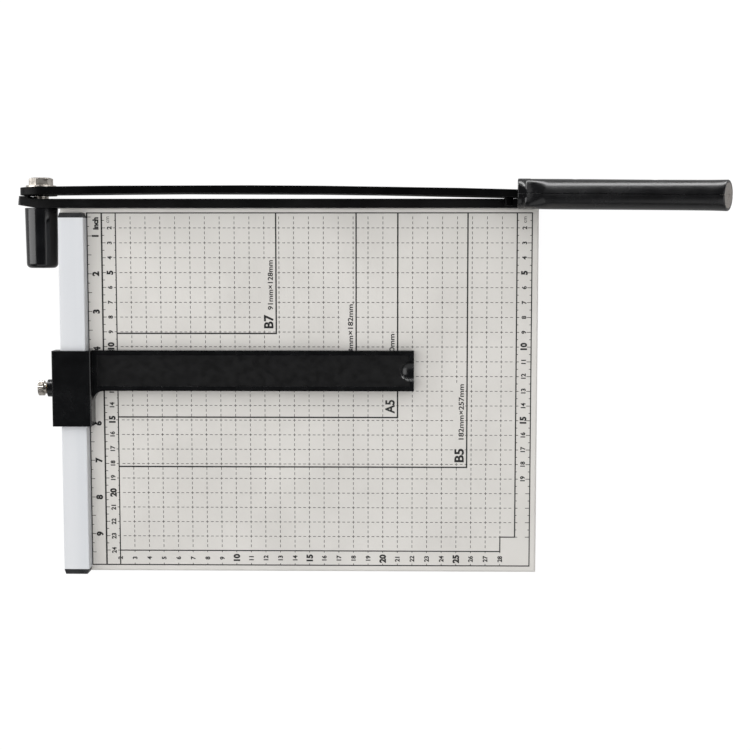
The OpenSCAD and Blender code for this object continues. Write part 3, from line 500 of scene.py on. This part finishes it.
# Pivot spring: oiled spring wire, wound in six turns round the bolt inside its cap.
wire_r, wire_sides = 1.1 * mm, 12
spring_turns, turn_steps = 6, 24
spring_colours = ((0.20, 0.20, 0.21), (0.34, 0.34, 0.35))
spring_lo, spring_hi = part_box("pivot_spring")
spring_middle = (spring_lo + spring_hi) / 2
coil_r = (spring_hi.z - spring_lo.z) / 2 - wire_r
bpy.ops.mesh.primitive_circle_add(vertices=wire_sides, radius=wire_r,
                                  location=(coil_r, 0, 0), rotation=(math.pi / 2, 0, 0))
bpy.ops.object.transform_apply()
spring = bpy.context.object
spring.name = spring.data.name = "coil_spring"
apply_modifier(spring, "SCREW", axis="Z", angle=spring_turns * 2 * math.pi,
               screw_offset=spring_hi.y - spring_lo.y - 2 * wire_r,
               steps=spring_turns * turn_steps, render_steps=spring_turns * turn_steps)
bpy.ops.object.mode_set(mode="EDIT")
bpy.ops.mesh.select_all(action="SELECT")
bpy.ops.mesh.fill_holes(sides=wire_sides)
bpy.ops.mesh.normals_make_consistent(inside=False)
bpy.ops.object.mode_set(mode="OBJECT")
spring.rotation_euler = (math.pi / 2, 0, 0)
spring.location = (spring_middle.x, spring_hi.y - wire_r, spring_middle.z)
bpy.ops.object.transform_apply()
bpy.ops.object.shade_smooth_by_angle(angle=edge_angle)
spring.data.materials.append(surface("spring_wire", spring_colours, roughness=(0.25, 0.36),
                                     patch=6 * mm, grain=0.3 * mm, relief=0.003 * mm,
                                     metallic=1.0))
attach(spring, "base")
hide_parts("pivot_spring")


# Spring cap: a glossy black moulding that is pushed over the spring seat. It tapers to a closed,
# well-rounded end, and its mouth has a thin wall.
cap_wall, cap_tip_r, cap_tip_round, mouth_edge = 1.6 * mm, 10.4 * mm, 3 * mm, 0.3 * mm
spring_cap_colours = ((0.0022, 0.0024, 0.003), (0.0036, 0.0038, 0.0046))
cap_lo, cap_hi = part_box("spring_cap")
cap_middle = (cap_lo + cap_hi) / 2
cap_mouth_r = (cap_hi.z - cap_lo.z) / 2
cap_len = cap_hi.y - cap_lo.y
bpy.ops.mesh.primitive_cylinder_add(vertices=72, radius=cap_mouth_r, depth=cap_len,
                                    location=cap_middle, rotation=(math.pi / 2, 0, 0))
bpy.ops.object.transform_apply()
spring_cap = bpy.context.object
spring_cap.name = spring_cap.data.name = "spring_cover"
pick_faces(spring_cap, lambda centre, normal: normal.y < -facing)
bpy.ops.transform.resize(value=(cap_tip_r / cap_mouth_r, 1, cap_tip_r / cap_mouth_r),
                         center_override=(cap_middle.x, cap_lo.y, cap_middle.z))
pick_edges(spring_cap, lambda a, b: max(a.y, b.y) < cap_lo.y + near)
bpy.ops.mesh.bevel(offset=cap_tip_round, segments=7, affect="EDGES")
pick_faces(spring_cap, lambda centre, normal: normal.y > facing)
bpy.ops.mesh.inset(thickness=cap_wall)
bpy.ops.mesh.extrude_region_move(
    TRANSFORM_OT_translate={"value": (0, cap_wall - cap_len, 0)})
inner_share = (cap_tip_r - cap_wall) / (cap_mouth_r - cap_wall)
bpy.ops.transform.resize(value=(inner_share, 1, inner_share),
                         center_override=(cap_middle.x, cap_lo.y, cap_middle.z))
pick_edges(spring_cap, lambda a, b: min(a.y, b.y) > cap_hi.y - near)
bpy.ops.mesh.bevel(offset=mouth_edge, segments=2, affect="EDGES")
bpy.ops.object.mode_set(mode="OBJECT")
bpy.ops.object.shade_smooth_by_angle(angle=edge_angle)
spring_cap.data.materials.append(surface("cover_plastic", spring_cap_colours,
                                         roughness=(0.16, 0.22), patch=9 * mm,
                                         grain=1.2 * mm, relief=0.004 * mm))
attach(spring_cap, "base")
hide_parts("spring_cap")


# Arm: a flat steel blade that is bowed so that it meets the fixed blade at one point at a time.
# It is enamelled black, and the bevel that is ground along its cutting edge is bare steel.
arm_edge = 0.3 * mm
arm_dip, bevel_h = 12 * mm, 7 * mm
bevel_down, bevel_out = 0.2, 0.4
arm_colours = ((0.0012, 0.0012, 0.0013), (0.0020, 0.0020, 0.0021))
ground_colours = ((0.42, 0.42, 0.43), (0.58, 0.58, 0.58))
cutting_edge_z = table_hi.z - arm_dip
arm_enamel = surface("arm_enamel", arm_colours, roughness=(0.34, 0.44), patch=22 * mm,
                     grain=0.8 * mm, relief=0.004 * mm, shine=0.06)
arm = merged_copy("blade_arm", "bowed_arm")
soften_edges(arm, arm_edge)
arm.data.materials.append(arm_enamel)
arm.data.materials.append(surface("ground_steel", ground_colours, roughness=(0.22, 0.34),
                                  patch=6 * mm, grain=0.5 * mm, relief=0.004 * mm,
                                  metallic=1.0, stretch=(9, 1, 0.5)))
for face in arm.data.polygons:
    ground = face.normal.z < -bevel_down and face.normal.y > bevel_out
    if ground and cutting_edge_z - mm < face.center.z < cutting_edge_z + bevel_h:
        face.material_index = 1
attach(arm, "arm")
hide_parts("blade_arm")

# Rest pin: a short steel pin in the arm, just before the grip, enamelled together with it
rest_pin = merged_copy("rest_pin", "arm_rest_pin")
soften_edges(rest_pin, arm_edge)
rest_pin.data.materials.append(arm_enamel)
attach(rest_pin, "arm")
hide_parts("rest_pin")


# Grip: two glossy black mouldings that close on the arm's tang. An upright collar turns, over a
# short neck, into a round handle with a slow waist and a flared end. A fine crease shows where
# the halves meet, and two screws draw them together from the outer side.
collar_w, collar_h, collar_len = 19.8 * mm, 25.6 * mm, 9.6 * mm
collar_round, collar_edge, collar_lean = 8.5 * mm, 0.8 * mm, 2.4 * mm
collar_edge_angle = math.radians(60)
grip_tilt, grip_yaw = math.radians(29), math.radians(1.7)
grip_len, neck_len, neck_inset, neck_square = 136.5 * mm, 20 * mm, 0.2 * mm, 5
grip_r, waist_r, end_r, waist_share = 9.9 * mm, 9.4 * mm, 9.6 * mm, 0.88
grip_sides, neck_rings, handle_rings, end_round = 96, 14, 26, 0.8 * mm
plug_pocket_r, plug_pocket_h = 8.15 * mm, 3 * mm
screw_pocket_r, screw_seat, screw_drop = 4.1 * mm, 4.9 * mm, 2 * mm
screw_shares, pocket_len = (0.27, 0.66), grip_len / 4
tang_gap, parting_gap, parting_edge, on_plane = 0.3 * mm, 0.3 * mm, 0.12 * mm, 0.005 * mm
grip_colours = ((0.003, 0.003, 0.0034), (0.0046, 0.0046, 0.0052))
grip_lo, grip_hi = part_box("grip_outer")
collar_middle = Vector((grip_lo.x + collar_len / 2, grip_hi.y - collar_w / 2,
                        grip_lo.z + collar_h / 2))
grip_turn = (0, -grip_tilt, -grip_yaw)


def between(start, end, share):
    """The value at a share of the way from start to end."""
    return start + (end - start) * share


def grip_radius(share):
    """Radius of the handle at a share of its length: a slow waist, then a flare."""
    if share < waist_share:
        return between(grip_r, waist_r, (1 - math.cos(math.pi * share / waist_share)) / 2)
    return between(waist_r, end_r, ((share - waist_share) / (1 - waist_share)) ** 2)


def shape_ring(piece, x, lean, half_w, half_h, square):
    """Moves the selected end face to x on the grip's axis, leans its top towards +X, and gives
    it the outline of a superellipse, for which square is 2 where it is round."""
    bpy.ops.object.mode_set(mode="OBJECT")
    ring = [corner for corner in piece.data.vertices if corner.select]
    for corner in ring:
        up = Vector((corner.co.x - piece["ring_x"], 0, corner.co.z)).length
        angle = math.atan2(math.copysign(up, corner.co.z), corner.co.y)
        reach = (abs(math.cos(angle) / half_w) ** square
                 + abs(math.sin(angle) / half_h) ** square) ** (-1 / square)
        rise = reach * math.sin(angle)
        corner.co = (x + rise * math.sin(lean), reach * math.cos(angle), rise * math.cos(lean))
    piece["ring_x"] = x
    bpy.ops.object.mode_set(mode="EDIT")


def cut_away(piece, tool, operation="DIFFERENCE"):
    """Cuts one solid with another, or joins them, and removes the tool."""
    apply_modifier(piece, "BOOLEAN", operation=operation, object=tool, solver="EXACT")
    bpy.data.objects.remove(tool)


bpy.ops.mesh.primitive_circle_add(vertices=grip_sides, radius=grip_r, fill_type="NGON",
                                  rotation=(0, math.pi / 2, 0))
bpy.ops.object.transform_apply()
handle = bpy.context.object
handle["ring_x"] = 0.0
bpy.ops.object.mode_set(mode="EDIT")
bpy.ops.mesh.select_all(action="SELECT")
neck_r = grip_radius(neck_len / grip_len)
for step in range(neck_rings + 1):
    share = step / neck_rings
    eased = share * share * (3 - 2 * share)
    if step:
        bpy.ops.mesh.extrude_region_move()
    shape_ring(handle, share * neck_len, grip_tilt * (1 - eased),
               between(collar_w / 2 - neck_inset, neck_r, eased),
               between(collar_h / 2 - neck_inset, neck_r, eased),
               between(neck_square, 2, eased))
for step in range(1, handle_rings + 1):
    x = between(neck_len, grip_len, step / handle_rings)
    radius = grip_radius(x / grip_len)
    bpy.ops.mesh.extrude_region_move()
    shape_ring(handle, x, 0, radius, radius, 2)
bpy.ops.object.mode_set(mode="OBJECT")
del handle["ring_x"]
pick_edges(handle, lambda a, b: min(a.x, b.x) > grip_len - near)
bpy.ops.mesh.bevel(offset=end_round, segments=4, affect="EDGES")
bpy.ops.mesh.select_all(action="SELECT")
bpy.ops.mesh.normals_make_consistent(inside=False)
bpy.ops.object.mode_set(mode="OBJECT")
pick_faces(handle, lambda centre, normal: normal.x > facing and centre.x > grip_len - near)
bpy.ops.mesh.inset(thickness=end_r - end_round - plug_pocket_r)
bpy.ops.mesh.extrude_region_move(TRANSFORM_OT_translate={"value": (-plug_pocket_h, 0, 0)})
bpy.ops.object.mode_set(mode="OBJECT")
handle.location = collar_middle
handle.rotation_euler = grip_turn
bpy.ops.object.transform_apply()

bpy.ops.mesh.primitive_cube_add(size=1, location=collar_middle,
                                scale=(collar_len, collar_w, collar_h))
bpy.ops.object.transform_apply()
collar = bpy.context.object
pick_edges(collar, lambda a, b: (max(a.x, b.x) < collar_middle.x
                                 and max(a.z, b.z) < collar_middle.z))
bpy.ops.transform.translate(value=(collar_lean, 0, 0))
pick_edges(collar, lambda a, b: abs(a.x - b.x) > collar_len / 2)
bpy.ops.mesh.bevel(offset=collar_round, segments=8, affect="EDGES")
bpy.ops.object.mode_set(mode="OBJECT")
apply_modifier(collar, "BEVEL", width=collar_edge, segments=4, limit_method="ANGLE",
               angle_limit=collar_edge_angle)
cut_away(handle, collar, "UNION")

tang = merged_copy("blade_arm", "tang_space")
apply_modifier(tang, "DISPLACE", strength=tang_gap, mid_level=0)
cut_away(handle, tang)
axis_turn = Euler(grip_turn).to_matrix()
for share in screw_shares:
    bpy.ops.mesh.primitive_cylinder_add(vertices=48, radius=screw_pocket_r, depth=pocket_len)
    pocket = bpy.context.object
    pocket.rotation_euler = (axis_turn @ Euler((-math.pi / 2, 0, 0)).to_matrix()).to_euler()
    pocket.location = collar_middle + axis_turn @ Vector(
        (share * grip_len, screw_seat + pocket_len / 2, -screw_drop))
    bpy.ops.object.transform_apply()
    cut_away(handle, pocket)

grip_plastic = surface("grip_plastic", grip_colours, roughness=(0.22, 0.28), patch=11 * mm,
                       grain=1.6 * mm, relief=0.001 * mm)
parting = axis_turn @ Vector((0, 1, 0))
for node, name, outer in (("grip_inner", "grip_half_inner", False),
                          ("grip_outer", "grip_half_outer", True)):
    half = handle.copy()
    half.data = handle.data.copy()
    half.name = half.data.name = name
    bpy.context.scene.collection.objects.link(half)
    select_only(half)
    bpy.ops.object.mode_set(mode="EDIT")
    bpy.ops.mesh.select_all(action="SELECT")
    cut = parting_gap / 2 if outer else -parting_gap / 2
    bpy.ops.mesh.bisect(plane_co=collar_middle + cut * parting, plane_no=parting, use_fill=True,
                        clear_inner=outer, clear_outer=not outer)
    pick_edges(half, lambda a, b: max(abs((end - collar_middle).dot(parting) - cut)
                                      for end in (a, b)) < on_plane)
    bpy.ops.mesh.bevel(offset=parting_edge, segments=2, affect="EDGES", clamp_overlap=True)
    bpy.ops.mesh.select_all(action="SELECT")
    bpy.ops.mesh.normals_make_consistent(inside=False)
    bpy.ops.object.mode_set(mode="OBJECT")
    bpy.ops.object.shade_smooth_by_angle(angle=edge_angle)
    half.data.materials.append(grip_plastic)
    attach(half, "arm")
    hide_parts(node)
bpy.data.objects.remove(handle)


# Grip screws in their pockets, and the speckled plug that closes the end of the handle.
grip_screws = merged_copy("grip_screws", "grip_screw_set")
soften_edges(grip_screws, fastener_edge)
grip_screws.data.materials.append(zinc_plate)
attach(grip_screws, "arm")
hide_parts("grip_screws")

plug_edge = 0.25 * mm
plug_colours = ((0.13, 0.115, 0.105), (0.36, 0.33, 0.30))
plug = merged_copy("grip_plug", "grip_end_plug")
soften_edges(plug, plug_edge)
plug.data.materials.append(surface("speckled_plug", plug_colours, roughness=(0.45, 0.6),
                                   patch=0.6 * mm, grain=0.35 * mm, relief=0.03 * mm))
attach(plug, "arm")
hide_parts("grip_plug")


# Paper stop: one black moulding. Its block straddles the fence and slides along it, and its bar
# lies across the table with a grained field between two smooth rims.
stop_edge = 0.3 * mm
field_h, field_slack, field_facing = 7.4 * mm, 0.2 * mm, 0.95
rail_in_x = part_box("fence_rail")[1].x
stop_colours = ((0.0016, 0.0018, 0.0022), (0.0026, 0.0029, 0.0034))
field_colours = ((0.0018, 0.0018, 0.0020), (0.0042, 0.0042, 0.0045))
stop = merged_copy("paper_stop", "sliding_stop")
soften_edges(stop, stop_edge)
stop.data.materials.append(surface("stop_plastic", stop_colours, roughness=(0.2, 0.28),
                                   patch=9 * mm, grain=0.9 * mm, relief=0.004 * mm))
stop.data.materials.append(surface("stop_grain", field_colours, roughness=(0.5, 0.62),
                                   patch=4 * mm, grain=0.28 * mm, relief=0.02 * mm,
                                   shine=0.25))
for face in stop.data.polygons:
    level = abs(face.center.z - table_hi.z - field_h) < field_slack
    if face.normal.z > field_facing and level and face.center.x > rail_in_x:
        face.material_index = 1
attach(stop, "stop")
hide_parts("paper_stop")


# Clamp: a turned brass insert in the stop's boss, a steel pad that presses on the fence, and a
# knurled thumb screw in dull nickel.
clamp_edge = 0.1 * mm
brass_colours = ((0.60, 0.44, 0.20), (0.72, 0.56, 0.28))
brass = surface("turned_brass", brass_colours, roughness=(0.24, 0.34), patch=2 * mm,
                grain=0.3 * mm, relief=0.003 * mm, metallic=1.0, stretch=(3, 1, 1))
clamp_pieces = {
    "thread_insert": ("brass_insert", brass, "stop", "brass"),
    "clamp_pad": ("pressure_pad", zinc_plate, "pad", "zinc_steel"),
    "thumb_screw": ("knurled_screw", nickel_plate, "screw", "nickel"),
}
for node, (name, material, body, slot) in clamp_pieces.items():
    piece = merged_copy(node, name)
    soften_edges(piece, clamp_edge)
    piece.data.materials.append(material)
    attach(piece, body)
    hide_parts(node)


# Studio: a white floor inside a low white wall, under a dim grey sky. One wide panel overhead
# lights the matt surfaces softly, and five smaller ones only show as streaks in the glossy ones.
floor_size, wall_r, wall_h = 8, 3.2, 1.9
white, shadow_share, paper_white = 0.8, 0.1, 1.06
floor_mirrored, wall_mirrored = 0.5, 0.1
sky = 0.06


def white_paper(name, mirrored_white):
    """Plain white paper that looks evenly lit to the camera, has a level of its own in
    reflections, and takes a small share of the shadows that fall on it."""
    material = bpy.data.materials.new(name)
    material.use_nodes = True
    tree = material.node_tree
    tree.nodes.remove(tree.nodes["Principled BSDF"])
    out = tree.nodes["Material Output"]
    seen = tree.nodes.new("ShaderNodeLightPath")
    any_two = tree.nodes.new("ShaderNodeMath")
    any_two.operation = "MAXIMUM"
    any_three = tree.nodes.new("ShaderNodeMath")
    any_three.operation = "MAXIMUM"
    share = tree.nodes.new("ShaderNodeMath")
    share.operation = "MULTIPLY"
    share.inputs[1].default_value = 1 - shadow_share
    matt = tree.nodes.new("ShaderNodeBsdfDiffuse")
    matt.inputs["Color"].default_value = (white, white, white, 1)
    glow = tree.nodes.new("ShaderNodeEmission")
    glow.inputs["Color"].default_value = (1, 1, 1, 1)
    level = tree.nodes.new("ShaderNodeMath")
    level.operation = "MULTIPLY_ADD"
    level.inputs[1].default_value = paper_white - mirrored_white
    level.inputs[2].default_value = mirrored_white
    mix = tree.nodes.new("ShaderNodeMixShader")
    tree.links.new(seen.outputs["Is Camera Ray"], any_two.inputs[0])
    tree.links.new(seen.outputs["Is Glossy Ray"], any_two.inputs[1])
    tree.links.new(seen.outputs["Is Camera Ray"], level.inputs[0])
    tree.links.new(level.outputs["Value"], glow.inputs["Strength"])
    tree.links.new(any_two.outputs["Value"], any_three.inputs[0])
    tree.links.new(seen.outputs["Is Transmission Ray"], any_three.inputs[1])
    tree.links.new(any_three.outputs["Value"], share.inputs[0])
    tree.links.new(share.outputs["Value"], mix.inputs["Fac"])
    tree.links.new(matt.outputs["BSDF"], mix.inputs[1])
    tree.links.new(glow.outputs["Emission"], mix.inputs[2])
    tree.links.new(mix.outputs["Shader"], out.inputs["Surface"])
    return material


bpy.ops.mesh.primitive_plane_add(size=floor_size)
floor = bpy.context.object
floor.name = floor.data.name = "floor"
floor.data.materials.append(white_paper("floor_paper", floor_mirrored))
bpy.ops.mesh.primitive_cylinder_add(vertices=96, radius=wall_r, depth=wall_h,
                                    end_fill_type="NOTHING", location=(0, 0, wall_h / 2))
bpy.ops.object.transform_apply()
wall = bpy.context.object
wall.name = wall.data.name = "backdrop"
bpy.ops.object.shade_smooth()
wall.data.materials.append(white_paper("wall_paper", wall_mirrored))

world = bpy.data.worlds.new("sky")
bpy.context.scene.world = world
world.use_nodes = True
world.node_tree.nodes["Background"].inputs["Color"].default_value = (sky, sky, sky, 1)

# Place, aim, size, power, and whether the panel lights matt surfaces or shows in glossy ones
panels = {
    "top_panel": ((-0.25, 0.25, 1.1), (0, 0, 0), (3.6, 3.6), 54, True),
    "left_panel": ((-0.55, 0.45, 0.2), (0, 0.45, 0), (0.9, 0.4), 4, False),
    "right_panel": ((1.0, 0, 0.92), (0, 0, 0), (1.25, 0.75), 8, False),
    "back_strip": ((0, 0.45, 0), (0, 0, 0), (1.6, 0.24), 11, False),
    "back_panel": ((0, 1.45, 0.4), (0, 0, 0), (2.2, 0.6), 2, False),
    "front_panel": ((0.1, -1.1, 1.0), (0, 0, 0), (2.4, 1.3), 6.5, False),
}
for name, (place, aim, size, power, matt_light) in panels.items():
    light = bpy.data.lights.new(name, "AREA")
    light.shape = "RECTANGLE"
    light.size, light.size_y = size
    light.energy = power
    panel = bpy.data.objects.new(name, light)
    bpy.context.scene.collection.objects.link(panel)
    panel.location = place
    panel.rotation_euler = (Vector(place) - Vector(aim)).to_track_quat("Z", "Y").to_euler()
    panel.visible_camera = False
    panel.visible_diffuse = matt_light
    panel.visible_glossy = not matt_light

# The photograph's own view: nearly straight down, from almost one metre above the desk
sensor_w, focal_len = 36, 67.54959
camera_place = (0.02548247, 0.08512687, 0.97463863)
camera_turn = (-5.0567, 0.9848, 0.0127)
camera = bpy.data.objects.new("camera", bpy.data.cameras.new("camera"))
bpy.context.scene.collection.objects.link(camera)
camera.data.sensor_width = sensor_w
camera.data.lens = focal_len
camera.location = camera_place
camera.rotation_euler = [math.radians(turn) for turn in camera_turn]
bpy.context.scene.camera = camera
bpy.context.scene.view_settings.view_transform = "Standard"
